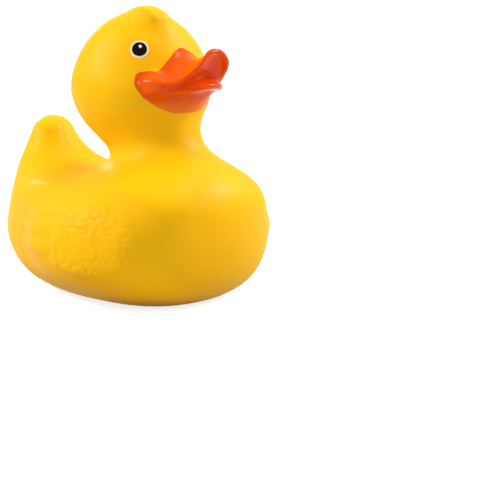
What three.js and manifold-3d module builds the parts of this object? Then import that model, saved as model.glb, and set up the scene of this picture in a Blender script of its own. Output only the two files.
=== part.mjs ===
// A toy rubber duck: one hollow moulded vinyl shell, with a whistle disc pressed into its flat base.
// Millimetres, +Z up. The duck looks along -Y, its left side is +X, and the origin is the middle of its base.
import * as THREE from "three";
import { triTable } from "three/addons/objects/MarchingCubes.js";
import { mergeVertices } from "three/addons/utils/BufferGeometryUtils.js";
import Module from "manifold-3d";

const wasm = await Module();
wasm.setup();

// Driving dimensions.
// A rounded form has half sizes along x, y and z. A pair is [towards minus, towards plus].
// square is the pair of exponents, in plan and in height, that make a form fuller than an ellipsoid's 2.
// soft is the width of the fillet that joins a form to what it grows from.
// Each form is placed from the one that carries it, so that a change of one size takes the rest along.
const body = { y: -8.2, flat: 0.4, half: [27.8, [34.2, 40.5], [26.4, 13]], square: [3.6, 3.7] };
const wing = { beyondSide: 2.2, fromMiddle: [-3.4, -5.9], half: [6.5, 17.5, 9.5], soft: 19.4 };
const mantle = { fromMiddle: [14.3, 10.2, 1.8], half: [11.5, 24, 9.2], soft: 7 }; // the ridge beside the back
const tail = { beyondBack: [-0.4, 1], fromMiddle: [-6.6, 22.4], radii: [13, 6], widen: 1.22, soft: 16.6 };
const neck = { root: [0, -11.8, 0.8], tip: [0, -12.2, 20.4], radii: [21.3, 8.5], soft: 13.5 };
const head = { fromNeck: [0, 13.2, 21.1], half: [19.4, 19.2, 21.8], square: [2.4, 2.1], soft: 10.8 };
const jowl = { below: 1.7, half: [19.9, 19.3, 11.1], soft: 8 };
const crest = { fromHead: [-1.5, -4.6, 17.7], half: [5.5, 7.8, 6.1], soft: 4.4 };
const curl = { fromHead: [-4.9, -5.4, 18.8], half: [2.3, 5.4, 4.5], soft: 1.5 };

// The folded wing stands a little proud of the side. Its outline lies along y and z about its own middle:
// an ellipse of small feathers in front, and a row of flight feathers behind it, from up to tip.
const pad = {
  fromMiddle: [-10.3, -2.5],
  tilt: -0.08, // radians, tips down
  thick: 0.7,
  inner: 12,
  covert: [14, 12.3],
  featherWidth: 5.4,
  feathers: [
    { up: 10.5, tip: 36 },
    { up: 4.7, tip: 39 },
    { up: -1.1, tip: 40 },
    { up: -6.9, tip: 37 },
  ],
};

// The bill's own frame: x across, forward from the middle of the face, and up from the lower lip.
const bill = { beyondFace: 2.2, belowHead: 0.2, soft: 1.6, sunk: 0.5, back: -17, side: 13 };
const topSurface = {
  saddle: [1.4, 8.8], // the dip between the forehead and the upturned tip: forward, up
  level: -6, // behind this the surface runs on level
  upturn: 0.052, // rise per square millimetre from the dip towards the tip
  arch: 0.095, // fall per square millimetre towards the sides
  flare: 0.00024, // and how that fall flattens again, per fourth power
};
const palate = {
  fold: [4.9, 3.7], // where it meets the fold above the mouth: forward, up
  lean: 0.7, // forward per millimetre up
  cup: 0.025, // the sides come forward, per square millimetre
  turn: 0.00027, // and fall back again towards the cheeks, per fourth power
  highest: 11, // above this the rim alone goes on
  foldArch: 0.07,
  gapUp: 0.1, // the upper bill stays this far above the lower lip's middle
  soft: 1.2,
};
const rim = {
  // The round edge of the upper bill, from the middle of the tip down to the cheek: across, forward, up.
  path: [
    [0, 9, 10.9],
    [6.2, 9.1, 10.9],
    [6.5, 8.2, 2.2],
    [11.4, -1.6, 0.8],
  ],
  radius: 1.15,
  segments: 10,
};
const lowerBill = { back: -3.7, half: [10.9, 11.2], thickness: 2.2, sag: 0.01 };
const mouth = { centre: [0, -6, 1.2], half: [10.5, 8, 4.5] }; // closes the mouth behind the lips
const cheek = { centre: [12.3, -4.9, 1.3], half: [3.7, 4.2, 3.7] };

const wall = 2; // vinyl thickness
const clearance = 0.3; // between the whistle disc and its seat
const disc = { fromMiddle: 1.5, radius: 7, height: 5.6, recess: 0.8, shell: 1.2, hole: 1.4, ventHole: 0.9 };
const bead = { height: 1.4, depth: 0.8, up: 2.6 }; // the ring on the disc that snaps into the seat's groove
const collar = { wall: 1.8, height: 2 }; // vinyl round the seat, and what stands above the disc

// Grid steps that turn the forms into facets, and the sides of a full circle.
const facets = { shell: 4.2, bill: 1.08, hollow: 6.5, circle: 32, outline: 12 };

// Places that follow from the dimensions.
const offsetFrom = (base, offset) => base.map((value, axis) => value + offset[axis]);
const middle = [0, body.y, body.half[2][0] - body.flat];
const sideMiddle = offsetFrom(middle, [body.half[0], 0, 0]);
const backMiddle = offsetFrom(middle, [0, body.half[1][1], 0]);
const bodyForm = { ...body, centre: middle };
const wingForm = { ...wing, centre: offsetFrom(sideMiddle, [wing.beyondSide, ...wing.fromMiddle]) };
const mantleForm = { ...mantle, centre: offsetFrom(middle, mantle.fromMiddle) };
const tailForm = {
  ...tail,
  root: offsetFrom(backMiddle, [0, tail.beyondBack[0], tail.fromMiddle[0]]),
  tip: offsetFrom(backMiddle, [0, tail.beyondBack[1], tail.fromMiddle[1]]),
};
const neckForm = { ...neck, root: offsetFrom(middle, neck.root), tip: offsetFrom(middle, neck.tip) };
const headForm = { ...head, centre: offsetFrom(neckForm.tip, head.fromNeck) };
const jowlForm = { ...jowl, centre: offsetFrom(headForm.centre, [0, 0, -jowl.below]) };
const crestForm = { ...crest, centre: offsetFrom(headForm.centre, crest.fromHead) };
const curlForm = { ...curl, centre: offsetFrom(headForm.centre, curl.fromHead) };
const discAxis = [0, body.y + disc.fromMiddle];
const faceY = jowlForm.centre[1] - jowl.half[1] - bill.beyondFace;
const lipZ = headForm.centre[2] - bill.belowHead;

// Boxes that hold the whole duck and the bill, as [lowest corner, highest corner].
const room = 5;
const rimTip = rim.path[0];
const duckBox = [
  [
    -wingForm.centre[0] - wing.half[0] - room,
    Math.min(body.y - body.half[1][0], faceY - rimTip[1]) - room,
    -body.flat - room,
  ],
  [
    wingForm.centre[0] + wing.half[0] + room,
    Math.max(backMiddle[1], tailForm.root[1] + tail.radii[0]) + room,
    crestForm.centre[2] + crest.half[2] + room,
  ],
];
const billMargin = rim.radius + bill.soft;
const billSide = cheek.centre[0] + cheek.half[0] + bill.soft;
const billBox = [
  [-billSide, faceY - rimTip[1] - billMargin, lipZ - lowerBill.thickness - bill.soft],
  [billSide, faceY - bill.back, lipZ + rimTip[2] + billMargin],
];
// Signed distances. Each is negative inside its form and close to a true distance near the surface.

function smoothMin(a, b, width) {
  const overlap = Math.max(width - Math.abs(a - b), 0) / width;
  return Math.min(a, b) - (overlap * overlap * width) / 4;
}

function smoothMax(a, b, width) {
  return -smoothMin(-a, -b, width);
}

// An ellipsoid with its own half sizes on each side of the centre, made fuller by the two exponents.
function rounded([x, y, z], { centre, half, square = [2, 2] }) {
  const scaled = [x, y, z].map((value, axis) => {
    const offset = value - centre[axis];
    const size = half[axis];
    const reach = Array.isArray(size) ? size[offset < 0 ? 0 : 1] : size;
    return [Math.abs(offset / reach) + 1e-9, reach];
  });
  const [[u, reachX], [v, reachY], [w, reachZ]] = scaled;
  const [planPower, heightPower] = square;
  const plan = (u ** planPower + v ** planPower) ** (1 / planPower);
  const level = (plan ** heightPower + w ** heightPower) ** (1 / heightPower);
  const planSlope = (plan / level) ** (heightPower - 1);
  const slope = Math.hypot(
    (planSlope * (u / plan) ** (planPower - 1)) / reachX,
    (planSlope * (v / plan) ** (planPower - 1)) / reachY,
    (w / level) ** (heightPower - 1) / reachZ,
  );
  return (level - 1) / slope;
}

// Two balls of different size and the cone tangent to both, in the plane that holds their line and the point.
function tapered([x, y, z], { root, tip, radii, widen = 1 }) {
  const line = new THREE.Vector3(...tip).sub(new THREE.Vector3(...root));
  const length = line.length();
  const fromRoot = new THREE.Vector3((x - root[0]) / widen, y - root[1], z - root[2]);
  const along = fromRoot.dot(line) / length;
  const across = Math.sqrt(Math.max(fromRoot.lengthSq() - along * along, 0));
  const sine = (radii[0] - radii[1]) / length;
  const cosine = Math.sqrt(1 - sine * sine);
  const foot = (along * cosine - across * sine) / cosine;
  if (foot < 0) return Math.hypot(across, along) - radii[0];
  if (foot > length) return Math.hypot(across, along - length) - radii[1];
  return across * cosine + along * sine - radii[0];
}

// A round edge of one radius along a chain of points.
function chain(point, points, radius) {
  let nearest = Infinity;
  for (let i = 1; i < points.length; i++) {
    const segment = new THREE.Line3(points[i - 1], points[i]);
    const foot = segment.closestPointToPoint(point, true, new THREE.Vector3());
    nearest = Math.min(nearest, foot.distanceTo(point));
  }
  return nearest - radius;
}

function trunkDistance([x, y, z]) {
  const besides = [Math.abs(x), y, z];
  const withWings = smoothMin(rounded([x, y, z], bodyForm), rounded(besides, wingForm), wing.soft);
  const withTail = smoothMin(withWings, tapered([x, y, z], tailForm), tail.soft);
  const withMantle = smoothMin(withTail, rounded(besides, mantleForm), mantle.soft);
  return smoothMin(withMantle, tapered([x, y, z], neckForm), neck.soft);
}

function headDistance(point) {
  const skull = smoothMin(rounded(point, headForm), rounded(point, jowlForm), jowl.soft);
  const withCrest = smoothMin(skull, rounded(point, crestForm), crest.soft);
  return smoothMin(withCrest, rounded(point, curlForm), curl.soft);
}

// The whole duck without its bill and the wings' pads.
function shellDistance(point) {
  return smoothMin(trunkDistance(point), headDistance(point), head.soft);
}

// The hollow leaves one wall of vinyl everywhere, and the thin bill is solid.
function hollowDistance(point) {
  return shellDistance(point) + wall;
}

// The shell grown by the thickness of the wings' pads.
function grownDistance(point) {
  return shellDistance(point) - pad.thick;
}

const rimPoints = new THREE.CubicBezierCurve3(
  ...rim.path.map((point) => new THREE.Vector3(...point)),
).getPoints(rim.segments);

function upperBillDistance(across, forward, up) {
  const [saddleForward, saddleUp] = topSurface.saddle;
  const rise = topSurface.upturn * (Math.max(forward, topSurface.level) - saddleForward) ** 2;
  const fall = topSurface.arch * across ** 2 - topSurface.flare * across ** 4;
  const top = (up - (saddleUp + rise - fall)) * Math.SQRT1_2; // the surface slopes by about 45 degrees
  const [foldForward, foldUp] = palate.fold;
  const cupped = palate.cup * across ** 2 - palate.turn * across ** 4;
  const front = forward - (foldForward + palate.lean * (up - foldUp) + cupped);
  const under = front / Math.hypot(1, palate.lean);
  const fold = Math.max(foldUp - palate.foldArch * across ** 2, palate.gapUp) - up;
  const wedge = smoothMax(smoothMax(top, under, palate.soft), fold, palate.soft);
  const lowered = smoothMax(wedge, up - palate.highest, palate.soft);
  const bounded = Math.max(lowered, bill.back - forward, across - bill.side);
  const edge = chain(new THREE.Vector3(across, forward, up), rimPoints, rim.radius);
  return smoothMin(bounded, edge, bill.soft);
}

function lowerBillDistance(across, forward, up) {
  const { back, half, thickness, sag } = lowerBill;
  const plan = rounded([across, forward, 0], { centre: [0, back, 0], half: [...half, 1] });
  return Math.hypot(Math.max(plan, 0), up + sag * across ** 2) - thickness / 2;
}

function billDistance([x, y, z]) {
  const inBill = [Math.abs(x), faceY - y, z - lipZ];
  const lips = Math.min(upperBillDistance(...inBill), lowerBillDistance(...inBill));
  const closed = smoothMin(lips, rounded(inBill, mouth), bill.soft);
  return smoothMin(closed, rounded(inBill, cheek), bill.soft);
}

// The bill and its fillet. Beyond the fillet it lies just under the face and joins it along a clean line.
function rootedBillDistance(point) {
  const rooted = smoothMin(shellDistance(point) + bill.sunk, billDistance(point), bill.soft);
  const [low, high] = billBox;
  const within = Math.max(...point.map((value, axis) => Math.max(low[axis] - value, value - high[axis])));
  return Math.max(rooted, within);
}

// A cell's corners in the table's order, and the two corners of each of its twelve edges.
const corners = [
  [0, 0, 0],
  [1, 0, 0],
  [1, 1, 0],
  [0, 1, 0],
  [0, 0, 1],
  [1, 0, 1],
  [1, 1, 1],
  [0, 1, 1],
];
const edges = [
  [0, 1],
  [1, 2],
  [3, 2],
  [0, 3],
  [4, 5],
  [5, 6],
  [7, 6],
  [4, 7],
  [0, 4],
  [1, 5],
  [2, 6],
  [3, 7],
];

// Moves a point near the surface onto it, along the form's own slope.
function settle(form, point, passes) {
  const step = 0.05;
  const leastSteep = 0.25;
  for (let pass = 0; pass < passes; pass++) {
    const slope = [0, 1, 2].map((axis) => {
      const ahead = [...point];
      const behind = [...point];
      ahead[axis] += step;
      behind[axis] -= step;
      return (form(ahead) - form(behind)) / (2 * step);
    });
    const steep = slope[0] ** 2 + slope[1] ** 2 + slope[2] ** 2;
    const move = form(point) / Math.max(steep, leastSteep);
    point = point.map((value, axis) => value - move * slope[axis]);
  }
  return point;
}

// Slides each point towards the middle of its neighbours and back onto the surface, to even out the facets.
function relax(form, points, triangles, passes) {
  const neighbours = points.map(() => new Set());
  for (let i = 0; i < triangles.length; i += 3)
    for (let n = 0; n < 3; n++) {
      neighbours[triangles[i + n]].add(triangles[i + ((n + 1) % 3)]);
      neighbours[triangles[i + n]].add(triangles[i + ((n + 2) % 3)]);
    }
  for (let pass = 0; pass < passes; pass++)
    points = points.map((point, at) => {
      const around = [...neighbours[at]];
      const mean = (axis) => around.reduce((sum, n) => sum + points[n][axis], 0) / around.length;
      return settle(form, point.map((value, axis) => (value + mean(axis)) / 2), 1);
    });
  return points;
}

// Marching cubes in a box: a closed mesh of the form's surface, as a solid.
function solidFromForm(form, [low, high], step) {
  const passes = { settle: 2, relax: 3 };
  const counts = low.map((value, axis) => Math.ceil((high[axis] - value) / step) + 3);
  const index = (i, j, k) => (k * counts[1] + j) * counts[0] + i;
  const place = (cell) => cell.map((value, axis) => low[axis] + (value - 1) * step);
  const values = new Float64Array(counts[0] * counts[1] * counts[2]);
  const least = 0.1 * step; // keeps each crossing off the grid's corners, so that no facet is a sliver
  for (let k = 0; k < counts[2]; k++)
    for (let j = 0; j < counts[1]; j++)
      for (let i = 0; i < counts[0]; i++) {
        const value = form(place([i, j, k]));
        values[index(i, j, k)] = value < 0 ? Math.min(value, -least) : Math.max(value, least);
      }

  const points = [];
  const made = new Map();
  const crossing = (cell, edge) => {
    const [start, end] = edges[edge].map((corner) => offsetFrom(cell, corners[corner]));
    const [from, to] = [index(...start), index(...end)];
    const key = `${from} ${to}`;
    if (!made.has(key)) {
      const share = values[from] / (values[from] - values[to]);
      const guess = place(start.map((value, axis) => value + share * (end[axis] - value)));
      made.set(key, points.length);
      points.push(settle(form, guess, passes.settle));
    }
    return made.get(key);
  };

  const triangles = [];
  for (let k = 0; k + 1 < counts[2]; k++)
    for (let j = 0; j + 1 < counts[1]; j++)
      for (let i = 0; i + 1 < counts[0]; i++) {
        const inside = corners.reduce(
          (bits, [di, dj, dk], bit) => bits | (values[index(i + di, j + dj, k + dk)] < 0 ? 1 << bit : 0),
          0,
        );
        for (let slot = inside * 16; triTable[slot] !== -1; slot += 3) {
          const [a, b, c] = [0, 1, 2].map((n) => crossing([i, j, k], triTable[slot + n]));
          triangles.push(a, c, b);
        }
      }
  return new wasm.Manifold(
    new wasm.Mesh({
      numProp: 3,
      vertProperties: new Float32Array(relax(form, points, triangles, passes.relax).flat()),
      triVerts: new Uint32Array(triangles),
    }),
  );
}

function solidFromGeometry(geometry) {
  const bare = geometry.clone();
  bare.deleteAttribute("normal");
  bare.deleteAttribute("uv");
  const merged = mergeVertices(bare, 1e-4);
  return new wasm.Manifold(
    new wasm.Mesh({
      numProp: 3,
      vertProperties: merged.attributes.position.array,
      triVerts: new Uint32Array(merged.index.array),
    }),
  );
}

function geometryFromSolid(solid) {
  const mesh = solid.getMesh();
  const geometry = new THREE.BufferGeometry();
  geometry.setAttribute("position", new THREE.BufferAttribute(mesh.vertProperties, 3));
  geometry.setIndex(new THREE.BufferAttribute(mesh.triVerts, 1));
  geometry.computeVertexNormals();
  return geometry;
}

// Everything above one height, as a block to cut with.
function above(z) {
  const size = 300;
  return solidFromGeometry(new THREE.BoxGeometry(size, size, size).translate(0, 0, z + size / 2));
}

// A turned solid about the disc's upright axis, from (radius, height) pairs given anticlockwise.
function turned(profile) {
  const points = profile.map(([radius, height]) => new THREE.Vector2(radius, height));
  const form = new THREE.LatheGeometry([...points, points[0]], facets.circle).rotateX(Math.PI / 2);
  return form.translate(...discAxis, 0);
}

const discBottom = disc.recess;
const discTop = discBottom + disc.height;
const beadBottom = discBottom + bead.up;
const beadTop = beadBottom + bead.height;
const seatRadius = disc.radius + clearance;
const seatTop = discTop + collar.height;

// The seat in the base: a round bore with the groove that the disc's bead snaps into.
function seatCut() {
  const grooveRadius = seatRadius + bead.depth;
  return solidFromGeometry(
    turned([
      [0, -1],
      [seatRadius, -1],
      [seatRadius, beadBottom - clearance],
      [grooveRadius, beadBottom - clearance],
      [grooveRadius, beadTop + clearance],
      [seatRadius, beadTop + clearance],
      [seatRadius, seatTop + 1],
      [0, seatTop + 1],
    ]),
  );
}

function collarBlock() {
  const radius = seatRadius + bead.depth + collar.wall;
  return solidFromGeometry(
    turned([
      [0, 0],
      [radius, 0],
      [radius, seatTop],
      [0, seatTop],
    ]),
  );
}

// The left wing's outline, extruded outwards through its side: a small ellipse and a row of rounded bars.
function wingOutline() {
  const covert = new THREE.Shape().absellipse(0, 0, ...pad.covert, 0, Math.PI * 2);
  const radius = pad.featherWidth / 2;
  const bars = pad.feathers.map(({ up, tip }) => {
    const bar = new THREE.Shape();
    bar.absarc(0, up, radius, Math.PI / 2, (Math.PI * 3) / 2);
    bar.absarc(tip - radius, up, radius, -Math.PI / 2, Math.PI / 2);
    return bar;
  });
  const alongSide = new THREE.Matrix4().makeBasis(
    new THREE.Vector3(0, 1, 0),
    new THREE.Vector3(0, 0, 1),
    new THREE.Vector3(1, 0, 0),
  );
  const options = { depth: duckBox[1][0] - pad.inner, bevelEnabled: false, curveSegments: facets.outline };
  const [y, z] = [middle[1] + pad.fromMiddle[0], middle[2] + pad.fromMiddle[1]];
  return [covert, ...bars]
    .map((shape) => new THREE.ExtrudeGeometry(shape, options).applyMatrix4(alongSide).rotateX(pad.tilt))
    .map((prism) => solidFromGeometry(prism.translate(pad.inner, y, z)))
    .reduce((all, solid) => all.add(solid));
}

function duckBody() {
  const shell = solidFromForm(shellDistance, duckBox, facets.shell);
  const rootedBill = solidFromForm(rootedBillDistance, billBox, facets.bill);
  const hollow = solidFromForm(hollowDistance, duckBox, facets.hollow);
  const grown = solidFromForm(grownDistance, duckBox, facets.shell);
  const leftWing = wingOutline();
  const pads = grown.intersect(leftWing.add(leftWing.mirror([1, 0, 0])));
  const cavity = hollow.intersect(above(wall)).subtract(collarBlock());
  const outside = shell.add(rootedBill).add(pads).intersect(above(0));
  return geometryFromSolid(outside.subtract(cavity).subtract(seatCut()));
}

// A flat drum with a sound hole below, a reed chamber inside and a vent above.
function squeaker() {
  const beadRadius = disc.radius + bead.depth;
  const chamber = disc.radius - disc.shell * 2;
  return turned([
    [disc.hole, discBottom],
    [disc.radius, discBottom],
    [disc.radius, beadBottom],
    [beadRadius, beadBottom + bead.depth / 2],
    [beadRadius, beadTop - bead.depth / 2],
    [disc.radius, beadTop],
    [disc.radius, discTop],
    [disc.ventHole, discTop],
    [disc.ventHole, discTop - disc.shell],
    [chamber, discTop - disc.shell],
    [chamber, discBottom + disc.shell],
    [disc.hole, discBottom + disc.shell],
  ]);
}

function addPiece(group, name, geometry, colour, roughness) {
  const material = new THREE.MeshStandardMaterial({ color: colour, roughness, metalness: 0 });
  const mesh = new THREE.Mesh(geometry, material);
  mesh.name = name;
  group.add(mesh);
}

const duck = new THREE.Group();
addPiece(duck, "duck_body", duckBody(), "#fcc816", 0.45);
addPiece(duck, "squeaker", squeaker(), "#f2f0e6", 0.35);

export default duck;
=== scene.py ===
"""Looks of a toy rubber duck: a vinyl skin with painted bill and eyes, and a whistle disc in its base.

The skin is one surface, given by named forms in millimetres and turned into a fine mesh. It looks along -Y,
its left side is +X, and it stands on z = 0. The mesh is then put in metres like everything else here.
"""

import math

import bpy
import numpy as np
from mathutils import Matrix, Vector


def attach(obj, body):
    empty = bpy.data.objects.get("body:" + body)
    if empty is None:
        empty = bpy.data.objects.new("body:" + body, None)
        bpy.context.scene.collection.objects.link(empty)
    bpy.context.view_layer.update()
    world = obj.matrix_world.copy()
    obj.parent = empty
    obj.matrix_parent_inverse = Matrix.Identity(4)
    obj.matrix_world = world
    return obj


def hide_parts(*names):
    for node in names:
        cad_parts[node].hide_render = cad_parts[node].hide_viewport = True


MM = 0.001

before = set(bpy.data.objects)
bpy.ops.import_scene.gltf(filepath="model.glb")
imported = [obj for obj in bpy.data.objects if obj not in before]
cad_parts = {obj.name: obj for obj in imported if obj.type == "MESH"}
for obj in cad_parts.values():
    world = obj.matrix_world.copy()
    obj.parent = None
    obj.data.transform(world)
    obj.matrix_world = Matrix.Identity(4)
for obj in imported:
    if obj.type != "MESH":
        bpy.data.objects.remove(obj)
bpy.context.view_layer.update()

# The body and what grows from it. Half sizes run along x, y and z, and a pair is (towards minus,
# towards plus). square holds two exponents, in plan and in height: 2 is an ellipsoid, more is fuller.
BODY = dict(centre=(0, -8.2, 26), half=(27.8, (34.2, 40.5), (26.4, 13)), square=(3.6, 3.7))
WING = dict(centre=(30.0, -11.6, 20.1), half=(6.5, 17.5, 9.5))
MANTLE = dict(centre=(14.3, 2, 27.8), half=(11.5, 24, 9.2))
TAIL = dict(root=(0, 31.9, 19.4), tip=(0, 33.3, 48.4), radii=(13, 6), widen=1.22)
NECK = dict(root=(0, -20, 26.8), tip=(0, -20.4, 46.4), radii=(21.3, 8.5))
HEAD = dict(centre=(0, -7.2, 67.5), half=(19.4, 19.2, 21.8), square=(2.4, 2.1))
JOWL = dict(centre=(0, -7.2, 65.8), half=(19.9, 19.3, 11.1))
CREST = dict(centre=(-1.5, -11.8, 85.2), half=(5.5, 7.8, 6.1))
CURL = dict(centre=(-4.9, -12.6, 86.3), half=(2.3, 5.4, 4.5))

# Widths of the fillets between them.
SOFT = dict(
    wing=19.4, tail=16.6, mantle=6, neck=13.5, jowl=8, crest=4.4, curl=2.6, head=10.8, foot=1.2,
    bill=1.7, rim=1.0, tongue=0.7, lips=0.4,
)

# The bill, in its own frame: across, forward of the face, and up from the lower lip.
FACE_Y = -28.7
LIP_Z = 67.3
SADDLE = dict(forward=1.4, up=8.8, level=-6, upturn=0.052, arch=0.1, flare=0.0003)
PALATE = dict(forward=4.9, up=3.7, lean=0.7, cup=0.025, turn=0.00027, lowest=0.1, soft=0.35)
# The first point of the rim's path only steers the curve's start.
RIM = dict(
    path=(
        (-2.2, 9.3, 10.95), (0, 9.1, 11.3), (2.2, 9.3, 10.95), (4.0, 9.4, 9.7), (5.7, 9.1, 7.8),
        (7.2, 7.3, 5.5), (8.8, 4.3, 3.1), (10.4, 1.2, 1.6), (12.1, -1.9, 1.0),
    ),
    radius=0.75,
    above=0.2,
)
UPPER_BILL = dict(back=17, half=13)
LOWER_LIP = dict(back=-3.7, half=(10.9, 11.2), thickness=2.0, sag=0.01, upturn=0.011)
TONGUE = dict(centre=(0, -2, 0.2), half=(9.6, 9.3, 4.5))
MOUTH = dict(centre=(0, -6, 1.2), half=(10.5, 8, 4.5))
CHEEK = dict(centre=(11.3, -4.9, 0.5), half=(3.3, 4.0, 3.3), soft=3.6)
# The head is drawn a little flatter on its right side, beside that side's eye.
FLAT_SIDE = dict(centre=(-12.5, -18.5, 73.5), depth=1.8, spread=8.5)
BILL_BOX = ((-19, -43, 60), (19, -8, 84))

# The round seat in the base that the whistle disc sits in.
SEAT = dict(centre=(0, -6.7), radius=7.3, depth=8.4, soft=0.5)

# The size of the grid that the skin is meshed on, and the space that the grid fills.
STEP = 0.62
GRID_BOX = ((-42, -49, -2), (42, 50, 95))

# How bright the white around the duck is in a reflection and as light on the duck, and how much of the
# floor's white is its own glow.
MIRRORED = 0.4
WORLD_LIGHT = 0.4
PAPER_GLOW = 0.8

# Azimuth and elevation in degrees, then metres and watts.
LAMPS = (
    dict(name="left", azimuth=-132, elevation=38, distance=1.35, size=0.36, power=11.8),
    dict(name="right", azimuth=56, elevation=36, distance=1.35, size=0.5, power=13.5),
    dict(name="top", azimuth=60, elevation=72, distance=1.3, size=0.5, power=4.2),
    dict(name="behind", azimuth=150, elevation=15, distance=1.3, size=0.09, power=1.1),
    dict(name="sparkle", azimuth=-76, elevation=30, distance=1.3, size=0.14, power=1.8),
)


def smooth_min(a, b, width):
    overlap = np.maximum(width - np.abs(a - b), 0) / width
    return np.minimum(a, b) - overlap * overlap * width / 4


def smooth_max(a, b, width):
    return -smooth_min(-a, -b, width)


def rounded(x, y, z, centre, half, square=(2, 2)):
    """Signed distance, close to true near the surface, of a rounded form."""
    scaled = []
    for value, middle, size in zip((x, y, z), centre, half):
        offset = value - middle
        reach = size if np.isscalar(size) else np.where(offset < 0, size[0], size[1])
        scaled.append((np.abs(offset / reach) + 1e-9, reach))
    (u, reach_x), (v, reach_y), (w, reach_z) = scaled
    plan_power, height_power = square
    plan = (u**plan_power + v**plan_power) ** (1 / plan_power)
    level = (plan**height_power + w**height_power) ** (1 / height_power)
    plan_slope = (plan / level) ** (height_power - 1)
    slope_x = plan_slope * (u / plan) ** (plan_power - 1) / reach_x
    slope_y = plan_slope * (v / plan) ** (plan_power - 1) / reach_y
    slope_z = (w / level) ** (height_power - 1) / reach_z
    return (level - 1) / np.sqrt(slope_x**2 + slope_y**2 + slope_z**2)


def tapered(x, y, z, root, tip, radii, widen=1):
    """Signed distance of two balls and the cone that touches both."""
    root = np.array(root, float)
    line = np.array(tip, float) - root
    length = np.linalg.norm(line)
    px, py, pz = (x - root[0]) / widen, y - root[1], z - root[2]
    along = (px * line[0] + py * line[1] + pz * line[2]) / length
    across = np.sqrt(np.maximum(px * px + py * py + pz * pz - along * along, 0))
    sine = (radii[0] - radii[1]) / length
    cosine = math.sqrt(1 - sine * sine)
    foot = (along * cosine - across * sine) / cosine
    cone = across * cosine + along * sine - radii[0]
    root_ball = np.hypot(across, along) - radii[0]
    tip_ball = np.hypot(across, along - length) - radii[1]
    return np.where(foot < 0, root_ball, np.where(foot > length, tip_ball, cone))


def chain(x, y, z, points):
    """Distance from a chain of straight pieces."""
    nearest = np.full(np.shape(x), np.inf)
    for start, end in zip(points[:-1], points[1:]):
        start = np.array(start, float)
        line = np.array(end, float) - start
        along = (x - start[0]) * line[0] + (y - start[1]) * line[1] + (z - start[2]) * line[2]
        share = np.clip(along / (line @ line), 0, 1)
        dx = x - start[0] - share * line[0]
        dy = y - start[1] - share * line[1]
        dz = z - start[2] - share * line[2]
        nearest = np.minimum(nearest, np.sqrt(dx * dx + dy * dy + dz * dz))
    return nearest


def rounded_outline(points, closed=True, each=8):
    """A smooth curve through the points, as a fine chain (Catmull-Rom)."""
    p = np.array(points, float)
    p = np.concatenate([p[-1:], p, p[:2]] if closed else [p, 2 * p[-1:] - p[-2:-1]])
    t = np.linspace(0, 1, each, endpoint=False)[:, None]
    out = []
    for a, b, c, d in zip(p[:-3], p[1:-2], p[2:-1], p[3:]):
        bend = a - 2.5 * b + 2 * c - d / 2
        twist = 1.5 * (b - c) + (d - a) / 2
        out.append(b + t * (c - a) / 2 + t**2 * bend + t**3 * twist)
    return np.concatenate(out)


RIM_LINE = rounded_outline(RIM["path"], closed=False, each=3)


def trunk(x, y, z):
    d = smooth_min(rounded(x, y, z, **BODY), rounded(np.abs(x), y, z, **WING), SOFT["wing"])
    d = smooth_min(d, tapered(x, y, z, **TAIL), SOFT["tail"])
    d = smooth_min(d, rounded(np.abs(x), y, z, **MANTLE), SOFT["mantle"])
    return smooth_min(d, tapered(x, y, z, **NECK), SOFT["neck"])


def skull(x, y, z):
    d = smooth_min(rounded(x, y, z, **HEAD), rounded(x, y, z, **JOWL), SOFT["jowl"])
    d = smooth_min(d, rounded(x, y, z, **CREST), SOFT["crest"])
    return smooth_min(d, rounded(x, y, z, **CURL), SOFT["curl"])


def palate_face(across, forward, up):
    """Signed distance of the upper bill's hollow front."""
    cupped = PALATE["cup"] * across**2 - PALATE["turn"] * across**4
    front = forward - (PALATE["forward"] + PALATE["lean"] * (up - PALATE["up"]) + cupped)
    return front / math.hypot(1, PALATE["lean"])


def upper_bill(across, forward, up):
    rise = SADDLE["upturn"] * (np.maximum(forward, SADDLE["level"]) - SADDLE["forward"]) ** 2
    fall = SADDLE["arch"] * across**2 - SADDLE["flare"] * across**4
    top = (up - (SADDLE["up"] + rise - fall)) / math.sqrt(2)
    wedge = smooth_max(top, palate_face(across, forward, up), PALATE["soft"])
    below_rim = up - np.interp(across, RIM_LINE[:, 0], RIM_LINE[:, 2]) - RIM["above"]
    wedge = np.maximum(smooth_max(wedge, below_rim, PALATE["soft"]), PALATE["lowest"] - up)
    wedge = np.maximum(wedge, np.maximum(-UPPER_BILL["back"] - forward, across - UPPER_BILL["half"]))
    return smooth_min(wedge, chain(across, forward, up, RIM_LINE) - RIM["radius"], SOFT["rim"])


def lower_bill(across, forward, up):
    plan = rounded(across, forward, 0 * up, (0, LOWER_LIP["back"], 0), (*LOWER_LIP["half"], 1))
    middle = LOWER_LIP["upturn"] * np.maximum(forward, 0) ** 2 - LOWER_LIP["sag"] * across**2
    return np.hypot(np.maximum(plan, 0), up - middle) - LOWER_LIP["thickness"] / 2


def bill(x, y, z):
    in_bill = np.abs(x), FACE_Y - y, z - LIP_Z
    d = smooth_min(upper_bill(*in_bill), lower_bill(*in_bill), SOFT["lips"])
    tongue = smooth_max(rounded(*in_bill, **TONGUE), -in_bill[2], SOFT["tongue"])
    d = smooth_min(d, tongue, SOFT["tongue"])
    d = smooth_min(d, rounded(*in_bill, **MOUTH), SOFT["bill"])
    return smooth_min(d, rounded(*in_bill, CHEEK["centre"], CHEEK["half"]), CHEEK["soft"])


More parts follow.
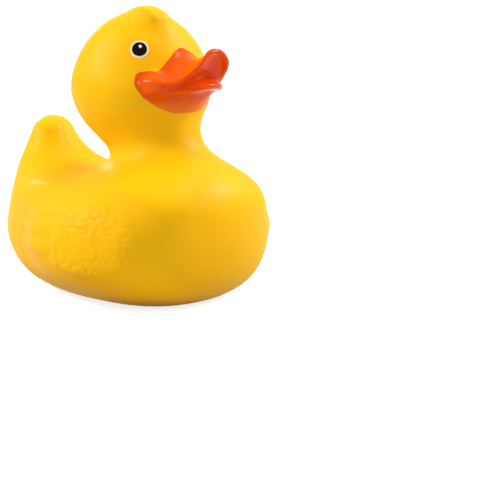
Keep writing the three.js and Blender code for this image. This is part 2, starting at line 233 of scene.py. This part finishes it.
def duck(points):
    """Signed distance of the whole skin, in millimetres."""
    x, y, z = points.T
    face = skull(x, y, z)
    away = ((points - np.array(FLAT_SIDE["centre"])) ** 2).sum(1)
    face += FLAT_SIDE["depth"] * np.exp(-away / (2 * FLAT_SIDE["spread"] ** 2))
    low, high = np.array(BILL_BOX)
    near = np.all((points > low) & (points < high), axis=1)
    face[near] = smooth_min(face[near], bill(*points[near].T), SOFT["bill"])
    d = smooth_min(trunk(x, y, z), face, SOFT["head"])
    d = smooth_max(d, -z, SOFT["foot"])
    bore = np.hypot(x - SEAT["centre"][0], y - SEAT["centre"][1]) - SEAT["radius"]
    seat = smooth_max(bore, z - SEAT["depth"], SEAT["soft"])
    return smooth_max(d, -seat, SEAT["soft"])


def slope(field, points):
    step = 0.02
    out = np.empty_like(points)
    for axis in range(3):
        shift = np.zeros(3)
        shift[axis] = step
        out[:, axis] = (field(points + shift) - field(points - shift)) / (2 * step)
    return out


def settle(field, points, passes):
    """Moves points near the surface onto it."""
    for _ in range(passes):
        direction = slope(field, points)
        steep = np.maximum((direction**2).sum(1), 0.25)
        points = points - (field(points) / steep)[:, None] * direction
    return points


def surface_net(field, low, high, step):
    """A mesh of quads on the field's zero surface, with one point in each grid cell that it crosses."""
    counts = [int(math.ceil((b - a) / step)) + 1 for a, b in zip(low, high)]
    axes = [a + step * np.arange(n) for a, n in zip(low, counts)]
    grid = np.stack(np.meshgrid(*axes, indexing="ij"), -1).reshape(-1, 3)
    values = np.concatenate([field(part) for part in np.array_split(grid, 24)]).reshape(counts)
    inside = values < 0

    total = np.zeros([n - 1 for n in counts] + [3])
    hits = np.zeros([n - 1 for n in counts])
    crossed = []
    for axis in range(3):
        first = [slice(None)] * 3
        second = [slice(None)] * 3
        first[axis] = slice(0, -1)
        second[axis] = slice(1, None)
        a, b = values[tuple(first)], values[tuple(second)]
        cross = inside[tuple(first)] != inside[tuple(second)]
        index = np.argwhere(cross)
        share = a[cross] / (a[cross] - b[cross])
        place = index.astype(float)
        place[:, axis] += share
        crossed.append((index, inside[tuple(first)][cross]))
        others = [n for n in range(3) if n != axis]
        for da in (0, 1):
            for db in (0, 1):
                cell = index.copy()
                cell[:, others[0]] -= da
                cell[:, others[1]] -= db
                np.add.at(total, tuple(cell.T), place)
                np.add.at(hits, tuple(cell.T), 1)

    used = hits > 0
    number = np.full(hits.shape, -1)
    number[used] = np.arange(used.sum())
    points = np.array(low) + step * total[used] / hits[used][:, None]

    quads = []
    for axis, (index, starts_inside) in enumerate(crossed):
        u, v = [(1, 2), (2, 0), (0, 1)][axis]
        ring = []
        for du, dv in ((0, 0), (1, 0), (1, 1), (0, 1)):
            cell = index.copy()
            cell[:, u] -= 1 - du
            cell[:, v] -= 1 - dv
            ring.append(number[tuple(cell.T)])
        ring = np.stack(ring, 1)
        quads.append(np.where(starts_inside[:, None], ring, ring[:, ::-1]))
    return points, np.concatenate(quads)


def neighbour_mean(points, quads):
    """The mean of each point's neighbours along the quads' edges."""
    ends = np.concatenate([quads[:, [n, (n + 1) % 4]] for n in range(4)])
    ends = np.concatenate([ends, ends[:, ::-1]])
    count = np.bincount(ends[:, 0], minlength=len(points))
    sums = [np.bincount(ends[:, 0], points[ends[:, 1], axis], len(points)) for axis in range(3)]
    return np.stack(sums, 1) / count[:, None]


def ease(value, low, high):
    share = np.clip((value - low) / (high - low), 0, 1)
    return share * share * (3 - 2 * share)


# Relief, in millimetres. On a wing, in y and z: a patch of small feathers in front, four long behind.
COVERT = (
    (-6, 31.6), (-12, 35), (-17, 35.8), (-24, 34.6), (-29.2, 32.4), (-32.8, 27), (-33.6, 23.3),
    (-32.4, 18.5), (-28.2, 13.2), (-20, 10.8), (-12, 10.4), (-4.4, 12.6), (-3.0, 19), (-4.2, 26),
)
FEATHERS = (
    dict(start=(0, 35.6), end=(16.6, 34.6), half=2.7, soft_tip=0.0),
    dict(start=(-9, 31.4), end=(18.8, 29.2), half=3.0, soft_tip=0.4),
    dict(start=(-9, 25.8), end=(20.1, 23.3), half=2.9, soft_tip=0.5),
    dict(start=(-9, 20), end=(17.1, 17.6), half=2.9, soft_tip=0.5),
)
PAD_HEIGHT = 0.75
# The small feathers are bumps of two sizes, and fade towards the wing's leading edge.
BUMPS = dict(height=0.5, level=0.9, small=1.55, small_seed=4, large=2.9, large_seed=9, large_share=0.5)
LEADING_EDGE = dict(start=16, end=27, lower=0.7, flatter=0.6)
TAIL_GROOVES = (
    ((1.2, 27.4, 51.5), (3.2, 22.9, 43)),
    ((6.0, 28.4, 49), (7.8, 25.4, 42)),
    ((9.6, 32.5, 46.5), (11.6, 31.4, 39.5)),
)
TAIL_GROOVE = dict(depth=0.26, width=1.1)
CREST_PATH = ((-7.8, -14.4, 89.4), (-7.0, -17.4, 87.2), (-4.4, -18.9, 86.4), (0.2, -19.8, 85.9))
CREST_HOLLOW = dict(depth=0.42, width=1.9)

# Paint, with a painted highlight: a white glint on each eye.
EYE = dict(near=((-11.7, -17.8, 78.7), (12.9, -19.0, 78.7)), ring=2.9, pupil=2.3, glint=0.6, dome=0.2)
# Where each eye's painted highlight sits from the eye's centre, in millimetres.
GLINT_SHIFT = (0.25, -0.1, 0.95)
BILL_PAINT = (
    (0, 79.0), (2.8, 77.9), (5.3, 76.1), (7.8, 73.9), (10, 72.4), (12.3, 72.4), (14.5, 71.9), (15.8, 70),
    (16.1, 67.8), (15.4, 65.6), (14.1, 63.9), (12.1, 62.2), (9.6, 60.8), (7.0, 59.8), (3.8, 59.3), (0, 59.2),
)
# The paint starts this far in front of the middle of the head, and is a lighter orange low on the chin,
# fading out between these heights in metres.
PAINT_FRONT = -10
CHIN = (0.0605, 0.065)


def inside_distance(u, v, outline):
    """How far inside a closed outline a point of the plane is. Outside it the value is negative."""
    nearest = np.full(u.shape, np.inf)
    within = np.zeros(u.shape, bool)
    for (u0, v0), (u1, v1) in zip(outline, np.roll(outline, -1, axis=0)):
        along = (u - u0) * (u1 - u0) + (v - v0) * (v1 - v0)
        share = np.clip(along / ((u1 - u0) ** 2 + (v1 - v0) ** 2), 0, 1)
        away = np.hypot(u - u0 - share * (u1 - u0), v - v0 - share * (v1 - v0))
        nearest = np.minimum(nearest, away)
        straddles = (v0 > v) != (v1 > v)
        if v1 != v0:
            within ^= straddles & (u < u0 + (v - v0) * (u1 - u0) / (v1 - v0))
    return np.where(within, nearest, -nearest)


def cells(u, v, size, seed):
    """Distance to the nearest of scattered points, one to each square, in shares of a square's size."""
    random = np.random.default_rng(seed)
    jitter = random.uniform(0.12, 0.88, (128, 128, 2))
    u, v = u / size, v / size
    iu, iv = np.floor(u).astype(int), np.floor(v).astype(int)
    nearest = np.full(u.shape, np.inf)
    for du in (-1, 0, 1):
        for dv in (-1, 0, 1):
            cu, cv = iu + du, iv + dv
            spot = jitter[cu % 128, cv % 128]
            nearest = np.minimum(nearest, np.hypot(cu + spot[..., 0] - u, cv + spot[..., 1] - v))
    return nearest


def wing_relief(x, y, z, sideways):
    """Height of the folded wing's feathers, and how much a point belongs to the patch of small ones."""
    on_side = ease(sideways, 0.2, 0.5) * (np.abs(x) > 12)
    patch = inside_distance(y, z, rounded_outline(COVERT))
    leading = ease(-y, LEADING_EDGE["start"], LEADING_EDGE["end"])
    patch_height = PAD_HEIGHT * ease(patch, -0.4, 4.2 - 2.8 * leading) * (1 - LEADING_EDGE["lower"] * leading)
    small = cells(y, z, BUMPS["small"], BUMPS["small_seed"])
    large = cells(y + 40, z + 9, BUMPS["large"], BUMPS["large_seed"])
    bumps = BUMPS["level"] - small - BUMPS["large_share"] * large
    covert = ease(patch, 0.0, 2.6 - 1.6 * leading)
    patch_height += BUMPS["height"] * covert * bumps * (1 - LEADING_EDGE["flatter"] * leading)
    feathers = np.zeros_like(y)
    for feather in FEATHERS:
        start, end = np.array(feather["start"], float), np.array(feather["end"], float)
        line = end - start
        along = (y - start[0]) * line[0] + (z - start[1]) * line[1]
        share = np.clip(along / (line @ line), 0, 1)
        away = np.hypot(y - start[0] - share * line[0], z - start[1] - share * line[1])
        profile = np.clip(1 - (away / feather["half"]) ** 2, 0, 1) ** 0.85
        tip = 1 - feather["soft_tip"] * ease(share, 0.75, 1)
        feathers = np.maximum(feathers, PAD_HEIGHT * ease(share, -0.1, 0.55) * tip * profile)
    height = np.maximum(patch_height, feathers)
    return height * on_side, covert * on_side


EYE_CENTRES = settle(duck, np.array(EYE["near"], float), 6)


def nearest_to(points, centres):
    return np.min([np.linalg.norm(points - centre, axis=1) for centre in centres], axis=0)


def relief(points, normals):
    """Height to add along the normal, and the patch of small feathers as a mask."""
    x, y, z = points.T
    side = np.abs(x)
    height, covert = wing_relief(x, y, z, np.abs(normals[:, 0]))
    for start, end in TAIL_GROOVES:
        groove = chain(side, y, z, (start, end))
        height -= TAIL_GROOVE["depth"] * np.exp(-((groove / TAIL_GROOVE["width"]) ** 2))
    crease = chain(x, y, z, CREST_PATH)
    height -= CREST_HOLLOW["depth"] * np.exp(-((crease / CREST_HOLLOW["width"]) ** 2))
    height += EYE["dome"] * (1 - ease(nearest_to(points, EYE_CENTRES), 2.3, 3.0))
    return height, covert


def paint_fields(points):
    """Signed distances that the material turns into crisp paint edges and the edge of a painted highlight on
    each eye, in millimetres, and a mask of the mouth's hollow that it paints a deeper red-orange, partly as
    painted shade.
    """
    x, y, z = points.T
    side = np.abs(x)
    mirrored = [(-across, height) for across, height in BILL_PAINT[:0:-1]]
    outline = rounded_outline(mirrored + list(BILL_PAINT[:-1]))
    flat = inside_distance(x, z, outline)
    front = np.minimum(flat, PAINT_FRONT - y)
    beyond = np.minimum(FACE_Y - y, z - 60)
    across, forward, up = side, FACE_Y - y, z - LIP_Z
    # The palate and the mouth's hollow, which the material paints a deeper red-orange: partly a thicker coat
    # of paint, partly painted shade in the recess.
    palate = ease(-np.abs(palate_face(across, forward, up)), -1.6, -0.3) * (up > 0.6) * (forward > 0)
    between = ease(forward, -1.5, 1.5) * ease(up, -1.2, 0.2) * (1 - ease(up, 2.0, 4.5))
    return {
        "bill_mm": np.maximum(front, beyond),
        "eye_mm": nearest_to(points, EYE_CENTRES),
        "glint_mm": nearest_to(points, EYE_CENTRES + np.array(GLINT_SHIFT)),
        "mouth_paint_and_shade": np.maximum(palate, between),
    }


def build_skin():
    points, quads = surface_net(duck, *GRID_BOX, STEP)
    points = settle(duck, points, 3)
    for _ in range(3):
        points = settle(duck, (points + neighbour_mean(points, quads)) / 2, 1)
    points = settle(duck, points, 1)
    normals = slope(duck, points)
    normals /= np.linalg.norm(normals, axis=1)[:, None]
    height, covert = relief(points, normals)
    fields = paint_fields(points)
    fields["covert"] = covert
    mesh = bpy.data.meshes.new("duck_skin")
    mesh.from_pydata(((points + height[:, None] * normals) * MM).tolist(), [], quads.tolist())
    mesh.validate()
    for name, values in fields.items():
        attribute = mesh.attributes.new(name, "FLOAT", "POINT")
        attribute.data.foreach_set("value", values.astype(np.float32))
    mesh.polygons.foreach_set("use_smooth", [True] * len(mesh.polygons))
    mesh.update()
    skin = bpy.data.objects.new("duck_skin", mesh)
    bpy.context.scene.collection.objects.link(skin)
    return skin


def linear(code):
    """A colour written as #rrggbb, as the linear numbers that a shader takes."""
    parts = [int(code[n : n + 2], 16) / 255 for n in (1, 3, 5)]
    return tuple(c / 12.92 if c <= 0.04045 else ((c + 0.055) / 1.055) ** 2.4 for c in parts) + (1,)


class Nodes:
    """Short calls that add nodes to one material."""

    def __init__(self, name):
        self.material = bpy.data.materials.new(name)
        self.material.use_nodes = True
        self.tree = self.material.node_tree
        self.shader = self.tree.nodes["Principled BSDF"]
        self.place = self.add("ShaderNodeTexCoord").outputs["Object"]

    def add(self, kind, **settings):
        node = self.tree.nodes.new(kind)
        for name, value in settings.items():
            setattr(node, name, value)
        return node

    def put(self, socket, value):
        if isinstance(value, bpy.types.NodeSocket):
            self.tree.links.new(value, socket)
        else:
            socket.default_value = value

    def attribute(self, name):
        return self.add("ShaderNodeAttribute", attribute_name=name).outputs["Fac"]

    def height(self):
        split = self.add("ShaderNodeSeparateXYZ")
        self.put(split.inputs["Vector"], self.place)
        return split.outputs["Z"]

    def noise(self, scale, detail=3, roughness=0.5):
        node = self.add("ShaderNodeTexNoise")
        self.put(node.inputs["Vector"], self.place)
        self.put(node.inputs["Scale"], scale)
        self.put(node.inputs["Detail"], detail)
        self.put(node.inputs["Roughness"], roughness)
        return node.outputs["Fac"]

    def voronoi(self, scale):
        node = self.add("ShaderNodeTexVoronoi", feature="SMOOTH_F1")
        self.put(node.inputs["Vector"], self.place)
        self.put(node.inputs["Scale"], scale)
        return node.outputs["Distance"]

    def maths(self, operation, a, b=0.0):
        node = self.add("ShaderNodeMath", operation=operation)
        self.put(node.inputs[0], a)
        self.put(node.inputs[1], b)
        return node.outputs[0]

    def ramp(self, value, low, high, to_low=0.0, to_high=1.0):
        node = self.add("ShaderNodeMapRange", interpolation_type="SMOOTHSTEP")
        names = ("Value", "From Min", "From Max", "To Min", "To Max")
        for name, number in zip(names, (value, low, high, to_low, to_high)):
            self.put(node.inputs[name], number)
        return node.outputs["Result"]

    def mix(self, share, a, b):
        node = self.add("ShaderNodeMix", data_type="RGBA")
        self.put(node.inputs["Factor"], share)
        self.put(node.inputs["A"], a)
        self.put(node.inputs["B"], b)
        return node.outputs["Result"]

    def blend(self, share, a, b):
        node = self.add("ShaderNodeMix", data_type="FLOAT")
        self.put(node.inputs["Factor"], share)
        self.put(node.inputs["A"], a)
        self.put(node.inputs["B"], b)
        return node.outputs["Result"]

    def bump(self, height, distance, strength):
        node = self.add("ShaderNodeBump")
        self.put(node.inputs["Height"], height)
        self.put(node.inputs["Distance"], distance)
        self.put(node.inputs["Strength"], strength)
        return node.outputs["Normal"]

    def finish(self, **sockets):
        for name, value in sockets.items():
            self.put(self.shader.inputs[name.replace("_", " ")], value)
        return self.material


def skin_material():
    n = Nodes("duck_vinyl_and_paint")
    cloud = n.noise(38, 3)
    yellow = n.mix(n.ramp(cloud, 0.3, 0.7), linear("#fdbb00"), linear("#fec104"))

    edge = n.maths("ADD", n.attribute("bill_mm"), n.ramp(n.noise(420, 2), 0.2, 0.8, -0.09, 0.09))
    bill_mask = n.ramp(edge, -0.14, 0.14)
    orange = n.mix(n.ramp(n.noise(95, 4), 0.3, 0.7), linear("#e45201"), linear("#ea5c02"))
    orange = n.mix(n.ramp(n.height(), *CHIN), linear("#f27a06"), orange)
    # A deeper red-orange in the mouth's hollow and on the palate: partly thicker paint, partly painted shade
    # in the recess.
    orange = n.mix(n.maths("MULTIPLY", n.attribute("mouth_paint_and_shade"), 0.6), orange, linear("#f24602"))
    colour = n.mix(bill_mask, yellow, orange)

    eye = n.attribute("eye_mm")
    ring_mask = n.ramp(eye, EYE["ring"] + 0.12, EYE["ring"] - 0.12)
    pupil_mask = n.ramp(eye, EYE["pupil"] + 0.09, EYE["pupil"] - 0.09)
    glint_mask = n.ramp(n.attribute("glint_mm"), EYE["glint"] + 0.12, EYE["glint"] - 0.12)
    colour = n.mix(ring_mask, colour, linear("#fbe3b4"))
    colour = n.mix(pupil_mask, colour, linear("#120608"))
    # A white glint on each eye is a painted highlight, standing in for a reflection.
    colour = n.mix(glint_mask, colour, linear("#ffffff"))

    painted = n.maths("MAXIMUM", bill_mask, ring_mask)
    satin = n.ramp(n.noise(260, 4), 0.25, 0.75, 0.4, 0.5)
    roughness = n.blend(painted, satin, n.ramp(n.noise(180, 3), 0.3, 0.7, 0.07, 0.11))

    skin_grain = n.maths("MULTIPLY", n.noise(1500, 3, 0.6), n.blend(painted, 0.35, 0.05))
    plumage = n.maths("MULTIPLY", n.voronoi(820), n.attribute("covert"))
    height = n.maths("SUBTRACT", skin_grain, plumage)
    return n.finish(
        Base_Color=colour,
        Roughness=roughness,
        Normal=n.bump(height, 0.00035, 0.55),
        Coat_Weight=n.blend(painted, 0.0, 0.03),
        Coat_Roughness=0.08,
        Specular_IOR_Level=0.1,
        Subsurface_Weight=0.12,
        Subsurface_Radius=(1.0, 0.42, 0.12),
        Subsurface_Scale=0.003,
    )


def disc_material():
    n = Nodes("disc_plastic")
    tone = n.mix(n.ramp(n.noise(220, 4), 0.3, 0.7), linear("#ece9dd"), linear("#f5f3ea"))
    return n.finish(
        Base_Color=tone,
        Roughness=n.ramp(n.noise(500, 3), 0.3, 0.7, 0.3, 0.42),
        Normal=n.bump(n.noise(2600, 2), 0.0001, 0.3),
        Subsurface_Weight=0.1,
        Subsurface_Radius=(1.0, 0.9, 0.8),
        Subsurface_Scale=0.001,
    )


def build_floor():
    mesh = bpy.data.meshes.new("floor")
    reach = 4.0
    corners = [(-reach, -reach, 0), (reach, -reach, 0), (reach, reach, 0), (-reach, reach, 0)]
    mesh.from_pydata(corners, [], [(0, 1, 2, 3)])
    floor = bpy.data.objects.new("floor", mesh)
    bpy.context.scene.collection.objects.link(floor)
    n = Nodes("floor_paper")
    speckle = n.ramp(n.noise(900, 3), 0.3, 0.7)
    paper = n.mix(speckle, linear("#c2c2c2"), linear("#c9c9c9"))
    path = n.add("ShaderNodeLightPath")
    mirrored = n.maths("MULTIPLY", path.outputs["Is Glossy Ray"], MIRRORED)
    seen = n.maths("MAXIMUM", path.outputs["Is Camera Ray"], mirrored)
    seen = n.maths("MAXIMUM", seen, path.outputs["Is Transmission Ray"])
    floor.data.materials.append(
        n.finish(
            Base_Color=paper,
            Roughness=0.9,
            Specular_IOR_Level=0.1,
            Emission_Color=(1, 1, 1, 1),
            Emission_Strength=n.maths("MULTIPLY", seen, PAPER_GLOW),
        )
    )
    return floor


def add_lamp(name, azimuth, elevation, distance, size, power):
    """A round lamp that looks at the duck from an azimuth and elevation in degrees."""
    turn, rise = math.radians(azimuth), math.radians(elevation)
    outward = Vector((math.sin(turn) * math.cos(rise), -math.cos(turn) * math.cos(rise), math.sin(rise)))
    place = outward * distance
    aim = Vector((0, 0, 0.05))
    data = bpy.data.lights.new(name, "AREA")
    data.shape = "DISK"
    data.size = size
    data.energy = power
    lamp = bpy.data.objects.new(name, data)
    lamp.location = place
    lamp.rotation_euler = (aim - place).to_track_quat("-Z", "Y").to_euler()
    bpy.context.scene.collection.objects.link(lamp)


def build_world():
    world = bpy.data.worlds.new("studio")
    bpy.context.scene.world = world
    world.use_nodes = True
    tree = world.node_tree
    background = tree.nodes["Background"]
    background.inputs["Color"].default_value = (1, 1, 1, 1)
    path = tree.nodes.new("ShaderNodeLightPath")
    seen = tree.nodes.new("ShaderNodeMath")
    seen.operation = "MAXIMUM"
    tree.links.new(path.outputs["Is Camera Ray"], seen.inputs[0])
    tree.links.new(path.outputs["Is Transmission Ray"], seen.inputs[1])
    glossy = tree.nodes.new("ShaderNodeMath")
    glossy.operation = "MULTIPLY_ADD"
    tree.links.new(path.outputs["Is Glossy Ray"], glossy.inputs[0])
    glossy.inputs[1].default_value = MIRRORED
    tree.links.new(seen.outputs[0], glossy.inputs[2])
    strength = tree.nodes.new("ShaderNodeMapRange")
    strength.inputs["To Min"].default_value = WORLD_LIGHT
    strength.inputs["To Max"].default_value = 1.0
    tree.links.new(glossy.outputs[0], strength.inputs["Value"])
    tree.links.new(strength.outputs["Result"], background.inputs["Strength"])


# The camera stands where the photograph's did. TARGET shows at TARGET_PIXEL of a picture 500 pixels square.
TARGET = Vector((0, -6.7, 42)) * MM
TARGET_PIXEL = (141.9, 161.7)
AZIMUTH = math.radians(-46)
ELEVATION = math.radians(7.5)
DISTANCE = 0.6
PICTURE = 500
FOCAL_PIXELS = 1896
SENSOR = 36


def build_camera():
    right = Vector((math.cos(AZIMUTH), math.sin(AZIMUTH), 0))
    back = Vector((
        math.sin(AZIMUTH) * math.cos(ELEVATION),
        -math.cos(AZIMUTH) * math.cos(ELEVATION),
        math.sin(ELEVATION),
    ))
    up = back.cross(right)
    place = TARGET + back * DISTANCE
    per_pixel = DISTANCE / FOCAL_PIXELS
    shift_right = (PICTURE / 2 - TARGET_PIXEL[0]) * per_pixel
    shift_down = (PICTURE / 2 - TARGET_PIXEL[1]) * per_pixel
    aim = TARGET + right * shift_right - up * shift_down
    data = bpy.data.cameras.new("camera")
    data.sensor_width = SENSOR
    data.sensor_fit = "HORIZONTAL"
    data.lens = FOCAL_PIXELS / PICTURE * SENSOR
    data.clip_start = 0.01
    data.clip_end = 50
    camera = bpy.data.objects.new("camera", data)
    camera.location = place
    camera.rotation_euler = (aim - place).to_track_quat("-Z", "Y").to_euler()
    bpy.context.scene.collection.objects.link(camera)
    bpy.context.scene.camera = camera


skin = build_skin()
skin.data.materials.append(skin_material())
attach(skin, "root")
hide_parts("duck_body")

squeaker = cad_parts["squeaker"]
plastic = disc_material()
if squeaker.material_slots:
    for slot in squeaker.material_slots:
        slot.material = plastic
else:
    squeaker.data.materials.append(plastic)

build_camera()
build_floor()
build_world()
for lamp in LAMPS:
    add_lamp(**lamp)

bpy.context.scene.view_settings.view_transform = "Standard"
